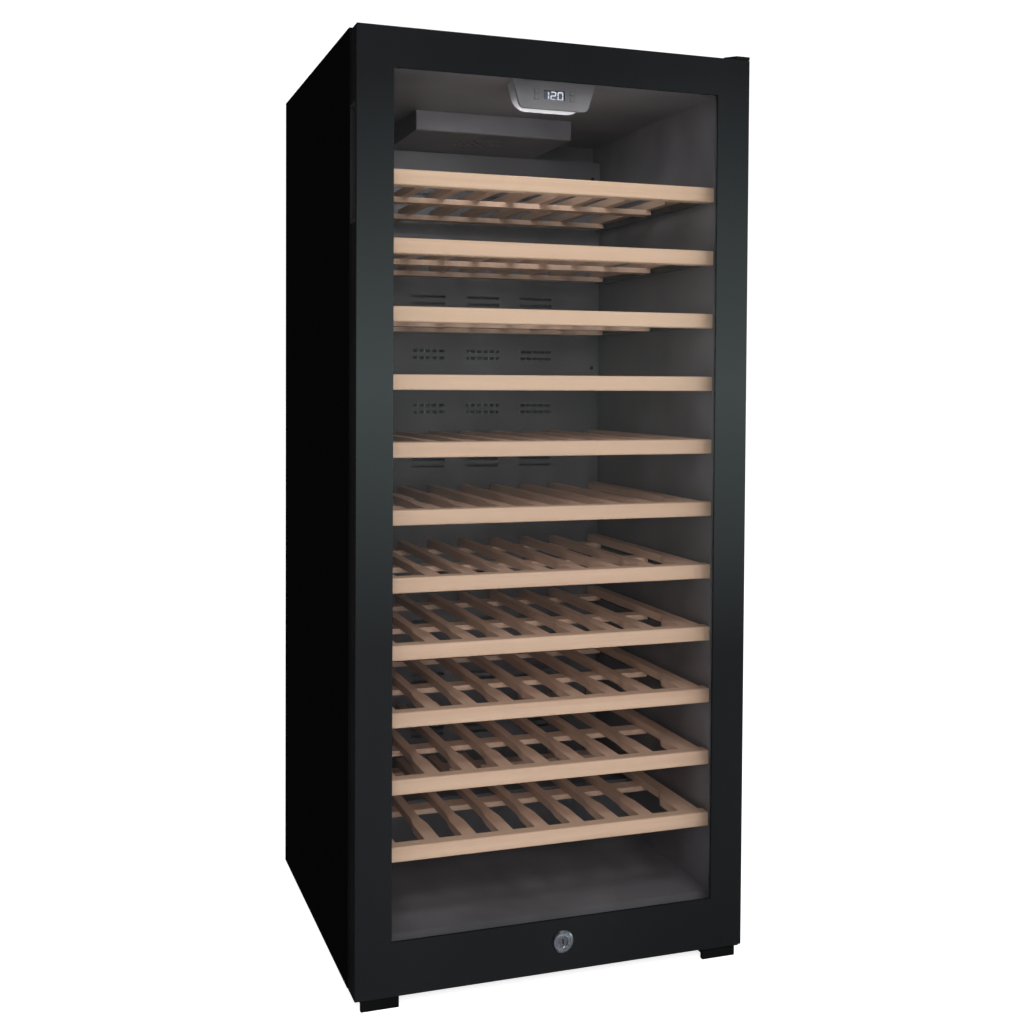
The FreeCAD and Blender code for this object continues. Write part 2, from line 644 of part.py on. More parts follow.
def gasket_ring(y0, y1):
    """Rectangular ring that follows the gasket's line."""
    x = HALF_W - GASKET_INSET
    z0 = DOOR_Z0 + 6
    z1 = DOOR_Z1 - 7
    outer = box(-x, x, y0, y1, z0, z1)
    inner = box(-x + GASKET_W, x - GASKET_W, y0 - 1, y1 + 1, z0 + GASKET_W, z1 - GASKET_W)
    return outer.cut(inner)


def door_inner_frame():
    """Rear frame with the gasket groove."""
    y1 = GLASS_Y + DOOR_T
    ring = frame_ring(GLASS_Y + FRAME_SPLIT, y1, HALF_W - SIDE_BAR - 1.5,
                      DOOR_Z0 + BOTTOM_BAR, DOOR_Z1 - TOP_BAR)
    groove = gasket_ring(y1 - GASKET_GROOVE, y1 + 1)
    corner = [V(HALF_W + 1, y1 - HINGE_BEVEL - 1, 0), V(HALF_W + 1, y1 + 1, 0),
              V(HALF_W - HINGE_BEVEL - 1, y1 + 1, 0)]
    bevel = Part.Face(Part.makePolygon(corner + corner[:1])).extrude(V(0, 0, HEIGHT))
    return cut(ring, hinge_holes() + [grip_room(0.1), lock_hole(LOCK_BODY_R + 0.1), groove, bevel])


def door_gasket():
    """Seal seated in the groove, just short of the cabinet's front."""
    y1 = GLASS_Y + DOOR_T
    return gasket_ring(y1 - GASKET_GROOVE, y1 + DOOR_GAP - CLEAR)


def outer_glass():
    """Full-size front pane with eased edges and the lock's hole."""
    pane = rounded_slab(-HALF_W, HALF_W, GLASS_Y, GLASS_Y + GLASS_T, DOOR_Z0, DOOR_Z1,
                        DOOR_CORNER_R, Y_AXIS)
    front = [e for e in pane.Edges if abs(e.CenterOfMass.y - GLASS_Y) < 0.01]
    return pane.makeFillet(GLASS_EDGE_R, front).cut(lock_hole(LOCK_BODY_R + 0.5))


def inner_glass():
    """Rear pane of the sealed unit."""
    half = HALF_W - SIDE_BAR - 2.5
    y0 = GLASS_Y + GLASS_T + SPACER_T
    return box(-half, half, y0, y0 + GLASS_T, DOOR_Z0 + BOTTOM_BAR + 2, DOOR_Z1 - TOP_BAR - 2)


def glass_spacer():
    """Metal spacer between the two panes."""
    half = HALF_W - SIDE_BAR - 5
    z0 = DOOR_Z0 + BOTTOM_BAR + 1
    z1 = DOOR_Z1 - TOP_BAR - 4
    y0 = GLASS_Y + GLASS_T
    outer = box(-half, half, y0, y0 + SPACER_T, z0, z1)
    return outer.cut(box(-half + SPACER_W, half - SPACER_W, y0 - 1, y0 + SPACER_T + 1,
                         z0 + SPACER_W, z1 - SPACER_W))


def grip_insert():
    """Finger cup let into the door's free edge."""
    body = grip_room(0).common(box(-HALF_W, 0, -400, 0, 0, HEIGHT))
    hollow = box(-HALF_W - 1, -HALF_W + GRIP_DEPTH - GRIP_WALL, GRIP_Y0 + 2 + GRIP_WALL,
                 GRIP_Y1 - 2 - GRIP_WALL, GRIP_Z0 + 3 + GRIP_WALL, GRIP_Z1 - 3 - GRIP_WALL)
    return body.removeSplitter().cut(hollow)


def hinge_bushes():
    """Plastic bushes for the two hinge pins."""
    bushes = []
    for z0 in (DOOR_Z0, DOOR_Z1 - BUSH_L):
        tube = rod(BUSH_R, BUSH_L, V(HINGE_X, HINGE_Y, z0), Z_AXIS)
        bushes.append(tube.cut(rod(PIN_R + PIN_PLAY, BUSH_L + 2, V(HINGE_X, HINGE_Y, z0 - 1), Z_AXIS)))
    return bushes


def lock_case():
    """Turned lock body: bevelled flange, groove, raised ring and a tube through the door."""
    bore = BARREL_R + PIN_PLAY
    outline = [(bore, 2.2), (bore + 0.7, LOCK_PROUD), (9.6, LOCK_PROUD), (10.2, 1.3), (11.2, 1.3),
               (11.9, 2.5), (13.8, 2.5), (LOCK_FLANGE_R, 1.0), (LOCK_FLANGE_R, 0),
               (LOCK_BODY_R, 0), (LOCK_BODY_R, -LOCK_BODY_L), (bore, -LOCK_BODY_L)]
    points = [V(LOCK_X + radius, GLASS_Y - proud, LOCK_Z) for radius, proud in outline]
    section = Part.Face(Part.makePolygon(points + points[:1]))
    return section.revolve(V(LOCK_X, GLASS_Y, LOCK_Z), Y_AXIS, 360)


def lock_barrel():
    """Turning barrel with a keyway and a cam at its inner end."""
    y0 = GLASS_Y - LOCK_PROUD + 1.2
    barrel = rod(BARREL_R, 36, V(LOCK_X, y0, LOCK_Z), Y_AXIS)
    keyway = box(LOCK_X - 1, LOCK_X + 1, y0 - 1, y0 + 16, LOCK_Z - 4, LOCK_Z + 4)
    cam_y = CAB_Y + STRIKE_WALL + 1.5
    tail = rod(3, cam_y - y0 - 34, V(LOCK_X, y0 + 35, LOCK_Z), Y_AXIS)
    cam = box(LOCK_X - CAM_W / 2, LOCK_X + CAM_W / 2, cam_y, cam_y + CAM_T,
              LOCK_Z - CAM_LENGTH, LOCK_Z + 5)
    return fuse([barrel.cut(keyway), tail, cam])


# ---- shelves ----

def shelf_top(index):
    """Height of a shelf's top face, counted from the lowest."""
    return SHELF_TOP_1 + SHELF_PITCH * index


def shelf_front(index):
    """Wooden facing board with eased front edges."""
    top = shelf_top(index)
    board = box(-FRONT_X, FRONT_X, CAB_Y, CAB_Y + FRONT_T, top - FRONT_H, top)
    front = edges_along(board, X_AXIS, lambda p: p.y < CAB_Y + 1)
    return board.makeFillet(2.5, front)


def tapered_board(front_x0, front_x1, rear_x0, rear_x1, top):
    """Board along Y that narrows behind the bottle necks, with soft shoulders."""
    y0 = CAB_Y + FRONT_T
    outline = [V(front_x0, y0, top - SLAT_T), V(front_x1, y0, top - SLAT_T),
               V(front_x1, TAPER_Y0, top - SLAT_T), V(rear_x1, TAPER_Y1, top - SLAT_T),
               V(rear_x1, RACK_Y1, top - SLAT_T), V(rear_x0, RACK_Y1, top - SLAT_T),
               V(rear_x0, TAPER_Y1, top - SLAT_T), V(front_x0, TAPER_Y0, top - SLAT_T)]
    face = Part.Face(Part.makePolygon(outline + outline[:1]))
    board = face.extrude(V(0, 0, SLAT_T)).removeSplitter()
    shoulders = edges_along(board, Z_AXIS, lambda p: TAPER_Y0 - 1 < p.y < TAPER_Y1 + 1)
    bent = [e for e in shoulders if front_x0 != rear_x0 or e.CenterOfMass.x > front_x0 + 1]
    bent = [e for e in bent if front_x1 != rear_x1 or e.CenterOfMass.x < front_x1 - 1]
    return board.makeFillet(20, bent)


def shelf_rack(index):
    """Side boards, slats and cross battens of one shelf, each its own solid."""
    top = shelf_top(index)
    boards = [tapered_board(RAIL_X0, RAIL_X1, RAIL_X0 + RAIL_NARROWING, RAIL_X1, top),
              tapered_board(-RAIL_X1, -RAIL_X0, -RAIL_X1, -RAIL_X0 - RAIL_NARROWING, top)]
    for place in range(-SLATS_EACH_SIDE, SLATS_EACH_SIDE + 1):
        x = place * SLAT_PITCH
        boards.append(tapered_board(x - SLAT_NECK_W / 2, x + SLAT_NECK_W / 2,
                                    x - SLAT_BODY_W / 2, x + SLAT_BODY_W / 2, top))
    batten_z = top - SLAT_T - CROSS_T
    for y in CROSS_STARTS:
        boards.append(box(-CROSS_X, CROSS_X, y, y + CROSS_W, batten_z, batten_z + CROSS_T))
    return boards


def save(name, shapes):
    """Write one node; a list is stored as a group of separate solids."""
    shape = Part.makeCompound(shapes) if isinstance(shapes, list) else shapes
    for solid in shape.Solids:
        if not solid.isValid() or solid.Volume <= 0:
            raise ValueError(name + " has an invalid solid")
    shape.exportStep("parts/" + name + ".step")


def build():
    """Every node of the wine cooler."""
    os.makedirs("parts", exist_ok=True)
    save("left_side_panel", side_panel(-1))
    save("right_side_panel", side_panel(1))
    save("top_panel", top_panel())
    save("back_panel", back_panel())
    save("base_pan", base_pan())
    save("foam_core", foam_core())
    save("inner_liner", inner_liner())
    save("shelf_runners", shelf_runners())
    save("lock_strike", lock_strike())
    save("feet", feet())
    save("bottom_hinge_bracket", bottom_hinge_bracket())
    save("top_hinge_bracket", top_hinge_bracket())
    save("hinge_cover", hinge_cover())
    save("compressor", compressor())
    save("condenser", condenser())
    save("evaporator", evaporator())
    save("rear_cover", rear_cover())
    save("fan_housing", fan_housing())
    save("circulation_fan", circulation_fan())
    save("cord_gland", cord_gland())
    save("control_housing", control_housing())
    save("display_window", display_window())
    save("control_board", control_board())
    save("light_lens", light_lens())
    for name, x, z in button_places():
        save(name, push_button(x, z))
    save("door_outer_frame", door_outer_frame())
    save("door_inner_frame", door_inner_frame())
    save("door_gasket", door_gasket())
    save("outer_glass", outer_glass())
    save("inner_glass", inner_glass())
    save("glass_spacer", glass_spacer())
    save("grip_insert", grip_insert())
    save("hinge_bushes", hinge_bushes())
    save("lock_case", lock_case())
    save("lock_barrel", lock_barrel())
    for index in range(SHELF_COUNT):
        save("shelf_%02d_front" % (index + 1), shelf_front(index))
        save("shelf_%02d_rack" % (index + 1), shelf_rack(index))


build()
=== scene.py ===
import bmesh
import bpy
import json
import math
from mathutils import Matrix, Vector


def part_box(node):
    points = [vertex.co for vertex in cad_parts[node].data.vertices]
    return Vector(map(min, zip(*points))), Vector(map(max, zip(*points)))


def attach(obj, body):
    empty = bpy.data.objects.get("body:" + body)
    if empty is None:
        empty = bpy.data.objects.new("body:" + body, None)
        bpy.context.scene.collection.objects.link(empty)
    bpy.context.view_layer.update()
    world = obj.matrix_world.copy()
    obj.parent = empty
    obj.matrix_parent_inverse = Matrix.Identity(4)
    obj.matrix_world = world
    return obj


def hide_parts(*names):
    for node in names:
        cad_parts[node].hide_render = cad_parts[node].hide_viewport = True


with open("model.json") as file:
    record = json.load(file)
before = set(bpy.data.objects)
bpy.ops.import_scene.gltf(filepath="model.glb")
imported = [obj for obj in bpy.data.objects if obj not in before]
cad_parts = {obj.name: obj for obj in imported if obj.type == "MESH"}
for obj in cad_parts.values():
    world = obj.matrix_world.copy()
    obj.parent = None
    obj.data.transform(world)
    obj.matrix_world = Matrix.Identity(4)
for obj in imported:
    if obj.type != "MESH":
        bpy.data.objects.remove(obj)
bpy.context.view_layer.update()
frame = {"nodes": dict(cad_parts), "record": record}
NODES = frame["nodes"]
MM = 0.001

# ---- sizes of the added detail ----
BORDER_SIDE = 52 * MM           # printed border of the front pane
BORDER_BOTTOM = 76 * MM
BORDER_TOP = 55 * MM
DISPLAY_RIM = 1.5 * MM          # the display window's flange, hidden behind the housing
DIGIT_WIDTH = 7.2 * MM
DIGIT_HEIGHT = 10.6 * MM
DIGIT_STROKE = 1.8 * MM
DIGIT_PITCH = 11.0 * MM
SEGMENT_T = 0.2 * MM
SYMBOL_SIZE = 1.5 * MM
SYMBOL_STROKE = 0.35 * MM
SYMBOL_T = 0.08 * MM
BACK_SCREW_R = 3.2 * MM
COVER_SCREW_R = 3.6 * MM
SCREW_SIDES = 16
FLOOR_HALF = 60                 # metres

# ---- places worked out from the frame ----
GLASS_LOW, GLASS_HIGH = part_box("outer_glass")
HALF_W = GLASS_HIGH.x
WINDOW_X = HALF_W - BORDER_SIDE
WINDOW_Z0 = GLASS_LOW.z + BORDER_BOTTOM
WINDOW_Z1 = GLASS_HIGH.z - BORDER_TOP
DISPLAY_LOW, DISPLAY_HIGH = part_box("display_window")
BOARD_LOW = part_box("control_board")[0]
LENS_LOW, LENS_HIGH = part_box("light_lens")
GASKET_LOW, GASKET_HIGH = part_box("door_gasket")
BACK_LOW, BACK_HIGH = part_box("back_panel")
COVER_LOW, COVER_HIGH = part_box("rear_cover")


# ---- camera ----

def add_camera():
    """Camera at the front left, level with the middle shelves."""
    yaw = math.radians(19.243)
    pitch = math.radians(1.565)
    roll = math.radians(-0.319)
    forward = Vector((math.sin(yaw) * math.cos(pitch), math.cos(yaw) * math.cos(pitch), -math.sin(pitch)))
    right = Vector((math.cos(yaw), -math.sin(yaw), 0))
    up = right.cross(forward)
    tilted_right = math.cos(roll) * right - math.sin(roll) * up
    tilted_up = tilted_right.cross(forward)
    data = bpy.data.cameras.new("photo_camera")
    data.sensor_width = 36
    data.lens = 45.92
    data.shift_y = -0.0903
    data.clip_start = 0.05
    camera = bpy.data.objects.new("photo_camera", data)
    bpy.context.scene.collection.objects.link(camera)
    axes = Matrix((tilted_right, tilted_up, -forward)).transposed()
    camera.matrix_world = Matrix.Translation((-0.6788, -2.0156, 0.8624)) @ axes.to_4x4()
    bpy.context.scene.camera = camera


# ---- node helpers ----

def new_material(name):
    """Empty node material with its output and one Principled shader."""
    mat = bpy.data.materials.new(name)
    mat.use_nodes = True
    mat.node_tree.nodes.clear()
    shader = node(mat, "BsdfPrincipled")
    output = node(mat, "OutputMaterial")
    link(mat, shader.outputs["BSDF"], output.inputs["Surface"])
    return mat, shader, output


def node(mat, kind, inputs=None, **attributes):
    """New shader node with its attributes and socket values set."""
    made = mat.node_tree.nodes.new("ShaderNode" + kind)
    for key, value in attributes.items():
        setattr(made, key, value)
    for key, value in (inputs or {}).items():
        made.inputs[key].default_value = value
    return made


def link(mat, source, target):
    """Join two sockets."""
    mat.node_tree.links.new(source, target)


def object_space(mat, scale):
    """Object coordinates stretched by a scale per axis."""
    place = node(mat, "TexCoord")
    stretch = node(mat, "Mapping", {"Scale": scale})
    link(mat, place.outputs["Object"], stretch.inputs["Vector"])
    return stretch.outputs["Vector"]


def noise(mat, scale, detail=3.0, roughness=0.5, distortion=0.0):
    """Noise value over stretched object coordinates."""
    texture = node(mat, "TexNoise", {"Scale": 1.0, "Detail": detail, "Roughness": roughness,
                                     "Distortion": distortion})
    link(mat, object_space(mat, scale), texture.inputs["Vector"])
    return texture.outputs["Fac"]


def remap(mat, value, low, high, to_low, to_high):
    """Value moved from one range to another, clamped."""
    mapped = node(mat, "MapRange", {"From Min": low, "From Max": high, "To Min": to_low, "To Max": to_high})
    link(mat, value, mapped.inputs["Value"])
    return mapped.outputs["Result"]


def ramp(mat, value, stops):
    """Colour ramp through (position, colour) stops."""
    made = node(mat, "ValToRGB")
    elements = made.color_ramp.elements
    for element, (position, colour) in zip(elements[:], (stops[0], stops[-1])):
        element.position = position
        element.color = (*colour, 1)
    for position, colour in stops[1:-1]:
        elements.new(position).color = (*colour, 1)
    link(mat, value, made.inputs["Fac"])
    return made.outputs["Color"]


def mix_colour(mat, factor, first, second, blend="MIX"):
    """Mix of two colours by a factor; each may be a plain value or a socket."""
    mixer = node(mat, "Mix", data_type="RGBA", blend_type=blend)
    if isinstance(factor, float):
        mixer.inputs["Factor"].default_value = factor
    else:
        link(mat, factor, mixer.inputs["Factor"])
    for value, name in ((first, "A"), (second, "B")):
        target = [s for s in mixer.inputs if s.name == name and s.type == "RGBA"][0]
        if isinstance(value, tuple):
            target.default_value = (*value, 1)
        else:
            link(mat, value, target)
    return [s for s in mixer.outputs if s.type == "RGBA"][0]


def bump(mat, height, distance, strength=1.0, under=None):
    """Bump from a height socket, in metres, on top of another normal."""
    made = node(mat, "Bump", {"Strength": strength, "Distance": distance})
    link(mat, height, made.inputs["Height"])
    if under is not None:
        link(mat, under, made.inputs["Normal"])
    return made.outputs["Normal"]


# ---- materials ----

def moulded_plastic(name, colour, rough=0.5, grain=0.00006, grain_scale=1400, specular=0.4):
    """Moulded plastic with a fine leather grain and slight tone drift."""
    mat, shader, _ = new_material(name)
    drift = noise(mat, (9, 9, 9), 2)
    dark = tuple(c * 0.82 for c in colour)
    light = tuple(min(c * 1.18, 1) for c in colour)
    link(mat, ramp(mat, drift, [(0.35, dark), (0.65, light)]), shader.inputs["Base Color"])
    fine = noise(mat, (grain_scale,) * 3, 2, 0.6)
    link(mat, remap(mat, fine, 0.3, 0.7, rough - 0.06, rough + 0.08), shader.inputs["Roughness"])
    coarse = noise(mat, (grain_scale / 5,) * 3, 2)
    under = bump(mat, coarse, grain, 0.35)
    link(mat, bump(mat, fine, grain, 0.6, under), shader.inputs["Normal"])
    shader.inputs["Specular IOR Level"].default_value = specular
    return mat


def painted_steel(name, colour, rough=0.42, specular=0.25):
    """Powder-coated sheet: faint orange peel and rubbed, slightly glossier areas."""
    mat, shader, _ = new_material(name)
    drift = noise(mat, (5, 5, 3), 3)
    dark = tuple(c * 0.8 for c in colour)
    light = tuple(c * 1.25 for c in colour)
    link(mat, ramp(mat, drift, [(0.3, dark), (0.7, light)]), shader.inputs["Base Color"])
    link(mat, remap(mat, drift, 0.3, 0.7, rough - 0.05, rough + 0.05), shader.inputs["Roughness"])
    peel = noise(mat, (420, 420, 420), 2, 0.4)
    link(mat, bump(mat, peel, 0.00005, 0.5), shader.inputs["Normal"])
    shader.inputs["Specular IOR Level"].default_value = specular
    return mat


def zinc_sheet(name):
    """Galvanised steel with its crystal spangle."""
    mat, shader, _ = new_material(name)
    spangle = node(mat, "TexVoronoi", {"Scale": 1.0}, feature="F1")
    link(mat, object_space(mat, (90, 90, 90)), spangle.inputs["Vector"])
    tone = node(mat, "RGBToBW")
    link(mat, spangle.outputs["Color"], tone.inputs["Color"])
    link(mat, ramp(mat, tone.outputs["Val"], [(0.2, (0.42, 0.43, 0.44)), (0.8, (0.50, 0.51, 0.53))]),
         shader.inputs["Base Color"])
    link(mat, remap(mat, tone.outputs["Val"], 0.2, 0.8, 0.34, 0.5), shader.inputs["Roughness"])
    shader.inputs["Metallic"].default_value = 0.9
    return mat


def satin_metal(name, colour, rough=0.3, scratch=(40, 1800, 40), metallic=1.0):
    """Metal with fine turning or brushing lines."""
    mat, shader, _ = new_material(name)
    lines = noise(mat, scratch, 3, 0.6)
    dark = tuple(c * 0.8 for c in colour)
    light = tuple(min(c * 1.12, 1) for c in colour)
    link(mat, ramp(mat, lines, [(0.35, dark), (0.65, light)]), shader.inputs["Base Color"])
    wear = noise(mat, (160, 160, 160), 4, 0.6)
    link(mat, remap(mat, wear, 0.3, 0.7, rough - 0.07, rough + 0.12), shader.inputs["Roughness"])
    link(mat, bump(mat, lines, 0.00003, 0.4), shader.inputs["Normal"])
    shader.inputs["Metallic"].default_value = metallic
    return mat


def beech(name, along, light, dark):
    """Planed beech: straight fibres along one axis, soft figure and fine flecks; a tint by height paints in
    light and shade, palest at top and bottom.
    """
    mat, shader, _ = new_material(name)

    def stretched(slow, fast):
        scale = [fast, fast, fast]
        scale[along] = slow
        return tuple(scale)

    middle = tuple((a + b) / 2 for a, b in zip(light, dark))
    figure = noise(mat, stretched(1.6, 75), 3, 0.5, 0.3)
    base = ramp(mat, figure, [(0.34, dark), (0.5, middle), (0.68, light)])
    fibres = noise(mat, stretched(5, 900), 4, 0.65)
    fibre_tone = ramp(mat, fibres, [(0.3, (0.90, 0.87, 0.85)), (0.7, (1.0, 1.0, 1.0))])
    toned = mix_colour(mat, 1.0, base, fibre_tone, "MULTIPLY")
    flecks = noise(mat, stretched(60, 1500), 1, 0.5)
    fleck_mask = remap(mat, flecks, 0.66, 0.74, 0.0, 0.3)
    speckled = mix_colour(mat, fleck_mask, toned, tuple(c * 0.6 for c in dark))
    boards = noise(mat, (0.7, 0.5, 10.0), 1)
    board_tone = ramp(mat, boards, [(0.3, (0.94, 0.92, 0.91)), (0.7, (1.0, 1.0, 1.0))])
    varied = mix_colour(mat, 1.0, speckled, board_tone, "MULTIPLY")
    place = node(mat, "TexCoord")
    parts = node(mat, "SeparateXYZ")
    link(mat, place.outputs["Object"], parts.inputs["Vector"])
    # painted light and shade: the wood is tinted by its height, palest at top and bottom and duller in the
    # middle, standing in for how the light falls on the shelves
    height = ramp(mat, remap(mat, parts.outputs["Z"], 0.25, 1.25, 0.0, 1.0),
                  [(0.0, (0.97, 0.90, 0.88)), (0.45, (0.88, 0.82, 0.80)), (1.0, (0.96, 0.92, 0.88))])
    link(mat, mix_colour(mat, 1.0, varied, height, "MULTIPLY"), shader.inputs["Base Color"])
    link(mat, remap(mat, fibres, 0.3, 0.7, 0.55, 0.45), shader.inputs["Roughness"])
    relief = bump(mat, fibres, 0.00002, 0.3)
    link(mat, bump(mat, flecks, 0.00002, 0.2, relief), shader.inputs["Normal"])
    shader.inputs["Specular IOR Level"].default_value = 0.3
    return mat


def clear_pane(name, tint, shine):
    """Flat glass that lets lamps through: transparent, with a mirror share set by the angle."""
    mat, shader, output = new_material(name)
    mat.node_tree.nodes.remove(shader)
    through = node(mat, "BsdfTransparent", {"Color": (*tint, 1)})
    mirror = node(mat, "BsdfGlossy", {"Color": (1.0, 0.93, 0.92, 1), "Roughness": 0.015})
    fresnel = node(mat, "Fresnel", {"IOR": 1.45})
    facing = node(mat, "NewGeometry")
    outside = remap(mat, facing.outputs["Backfacing"], 0.0, 1.0, shine, 0.0)
    smear = noise(mat, (6, 6, 3), 4, 0.6)
    coating = node(mat, "Math", operation="MULTIPLY")
    link(mat, outside, coating.inputs[0])
    link(mat, remap(mat, smear, 0.3, 0.7, 0.92, 1.08), coating.inputs[1])
    share = node(mat, "Math", operation="MULTIPLY", use_clamp=True)
    link(mat, fresnel.outputs["Fac"], share.inputs[0])
    link(mat, coating.outputs[0], share.inputs[1])
    mixer = node(mat, "MixShader")
    link(mat, share.outputs[0], mixer.inputs["Fac"])
    link(mat, through.outputs["BSDF"], mixer.inputs[1])
    link(mat, mirror.outputs["BSDF"], mixer.inputs[2])
    link(mat, mixer.outputs["Shader"], output.inputs["Surface"])
    return mat


def enamelled_glass(name):
    """Black enamel seen through the pane's polished face."""
    mat, shader, _ = new_material(name)
    depth = noise(mat, (3, 3, 2), 2)
    link(mat, ramp(mat, depth, [(0.3, (0.0042, 0.0046, 0.005)), (0.7, (0.0065, 0.007, 0.0075))]),
         shader.inputs["Base Color"])
    smear = noise(mat, (7, 7, 3), 4, 0.6)
    link(mat, remap(mat, smear, 0.3, 0.7, 0.03, 0.07), shader.inputs["Roughness"])
    shader.inputs["Specular IOR Level"].default_value = 0.5
    return mat


def glowing(name, colour, strength):
    """Lit marks with a faint diffuser texture."""
    mat, shader, _ = new_material(name)
    cells = noise(mat, (700, 700, 700), 2)
    dim = tuple(c * 0.85 for c in colour)
    tone = ramp(mat, cells, [(0.3, dim), (0.7, colour)])
    link(mat, tone, shader.inputs["Base Color"])
    link(mat, tone, shader.inputs["Emission Color"])
    shader.inputs["Emission Strength"].default_value = strength
    shader.inputs["Roughness"].default_value = 0.4
    return mat


def lamp_cover(name):
    """Frosted cover that glows along its lower edge, where the lamps sit."""
    mat, shader, _ = new_material(name)
    place = node(mat, "TexCoord")
    parts = node(mat, "SeparateXYZ")
    link(mat, place.outputs["Object"], parts.inputs["Vector"])
    glow = remap(mat, parts.outputs["Z"], LENS_LOW.z + 3 * MM, LENS_LOW.z + 27 * MM, 1.0, 0.0)
    frost = noise(mat, (900, 900, 900), 2)
    body = ramp(mat, frost, [(0.3, (0.30, 0.31, 0.33)), (0.7, (0.36, 0.37, 0.39))])
    link(mat, body, shader.inputs["Base Color"])
    glow_tone = ramp(mat, glow, [(0.0, (0, 0, 0)), (0.5, (0.10, 0.10, 0.105)),
                                 (0.9, (0.5, 0.5, 0.52)), (1.0, (0.68, 0.69, 0.71))])
    link(mat, glow_tone, shader.inputs["Emission Color"])
    shader.inputs["Emission Strength"].default_value = 1.0
    shader.inputs["Roughness"].default_value = 0.22
    link(mat, bump(mat, frost, 0.00004, 0.4), shader.inputs["Normal"])
    return mat


def rigid_foam(name):
    """Cut polyurethane foam with open cells."""
    mat, shader, _ = new_material(name)
    cells = node(mat, "TexVoronoi", {"Scale": 1.0}, feature="F1")
    link(mat, object_space(mat, (900, 900, 900)), cells.inputs["Vector"])
    tone = ramp(mat, cells.outputs["Distance"], [(0.1, (0.55, 0.48, 0.30)), (0.6, (0.82, 0.74, 0.52))])
    link(mat, tone, shader.inputs["Base Color"])
    link(mat, bump(mat, cells.outputs["Distance"], 0.0003, 0.6), shader.inputs["Normal"])
    shader.inputs["Roughness"].default_value = 0.9
    return mat


def circuit_green(name):
    """Solder-masked board with faint copper tracks."""
    mat, shader, _ = new_material(name)
    tracks = node(mat, "TexBrick", {"Scale": 1.0, "Mortar Size": 0.06})
    link(mat, object_space(mat, (160, 160, 160)), tracks.inputs["Vector"])
    tone = ramp(mat, tracks.outputs["Fac"], [(0.0, (0.01, 0.10, 0.04)), (1.0, (0.03, 0.20, 0.09))])
    link(mat, tone, shader.inputs["Base Color"])
    link(mat, bump(mat, tracks.outputs["Fac"], 0.00003, 0.5), shader.inputs["Normal"])
    shader.inputs["Roughness"].default_value = 0.3
    return mat


def make_materials():
    """Every material by its slot in the record."""
    front_light, front_dark = (0.715, 0.555, 0.415), (0.645, 0.485, 0.357)
    slat_light, slat_dark = (0.74, 0.57, 0.445), (0.625, 0.465, 0.36)
    return {
        # painted shade: the sides and top are near pure black, darker than real black paint, so they read as
        # sides lying in shadow
        "black_steel": painted_steel("black_steel", (0.0012, 0.0012, 0.0013), 0.5, 0.05),
        "galvanised_steel": zinc_sheet("galvanised_steel"),
        "insulation_foam": rigid_foam("insulation_foam"),
        "liner_plastic": moulded_plastic("liner_plastic", (0.15, 0.147, 0.157), 0.34, 0.00002, 1100),
        "runner_plastic": moulded_plastic("runner_plastic", (0.03, 0.03, 0.033), 0.4),
        "black_plastic": moulded_plastic("black_plastic", (0.004, 0.004, 0.0042), 0.45, specular=0.15),
        "foot_rubber": moulded_plastic("foot_rubber", (0.003, 0.003, 0.003), 0.7, 0.0001, 600, 0.1),
        "black_bracket": painted_steel("black_bracket", (0.008, 0.008, 0.009), 0.4, 0.3),
        "compressor_enamel": painted_steel("compressor_enamel", (0.012, 0.012, 0.013), 0.25, 0.5),
        "coil_metal": satin_metal("coil_metal", (0.72, 0.73, 0.75), 0.35, (900, 60, 60)),
        "fan_plastic": moulded_plastic("fan_plastic", (0.02, 0.02, 0.022), 0.4),
        "gland_rubber": moulded_plastic("gland_rubber", (0.012, 0.012, 0.012), 0.75, 0.00008, 1100, 0.25),
        "housing_plastic": moulded_plastic("housing_plastic", (0.20, 0.198, 0.205), 0.3, 0.00002, 1600),
        "smoked_window": clear_pane("smoked_window", (0.62, 0.63, 0.66), 1.0),
        "circuit_board": circuit_green("circuit_board"),
        "lamp_lens": lamp_cover("lamp_lens"),
        "button_plastic": moulded_plastic("button_plastic", (0.17, 0.168, 0.175), 0.32),
        "door_frame_plastic": moulded_plastic("door_frame_plastic", (0.005, 0.005, 0.0052), 0.4,
                                              specular=0.25),
        "door_glass": clear_pane("door_glass", (0.94, 0.94, 0.94), 0.4),
        "gasket_rubber": moulded_plastic("gasket_rubber", (0.009, 0.009, 0.009), 0.7, 0.00005, 1500, 0.3),
        "inner_glass": clear_pane("inner_glass", (0.97, 0.97, 0.97), 0.15),
        "spacer_metal": satin_metal("spacer_metal", (0.05, 0.05, 0.052), 0.35, (60, 60, 900)),
        "grip_plastic": moulded_plastic("grip_plastic", (0.018, 0.018, 0.019), 0.3, specular=0.5),
        "bush_plastic": moulded_plastic("bush_plastic", (0.62, 0.60, 0.55), 0.45),
        "lock_metal": satin_metal("lock_metal", (0.86, 0.87, 0.88), 0.2, (500, 40, 500)),
        "barrel_metal": satin_metal("barrel_metal", (0.55, 0.55, 0.57), 0.24, (500, 40, 500)),
        "beech_front": beech("beech_front", 0, front_light, front_dark),
        "beech_slats": beech("beech_slats", 1, slat_light, slat_dark),
    }


def dress_nodes(materials):
    """Give every CAD node the material of its slot; the back panel gets the grey of real black paint, while
    the sides and top keep a near pure black coat that paints in shade.
    """
    for part in frame["record"]["subparts"]:
        mesh = NODES[part["node"]].data
        mesh.materials.clear()
        mesh.materials.append(materials[part["material_slot"]])
    NODES["back_panel"].data.materials[0] = painted_steel("back_steel", (0.018, 0.018, 0.019), 0.42, 0.3)


# ---- mesh helpers ----

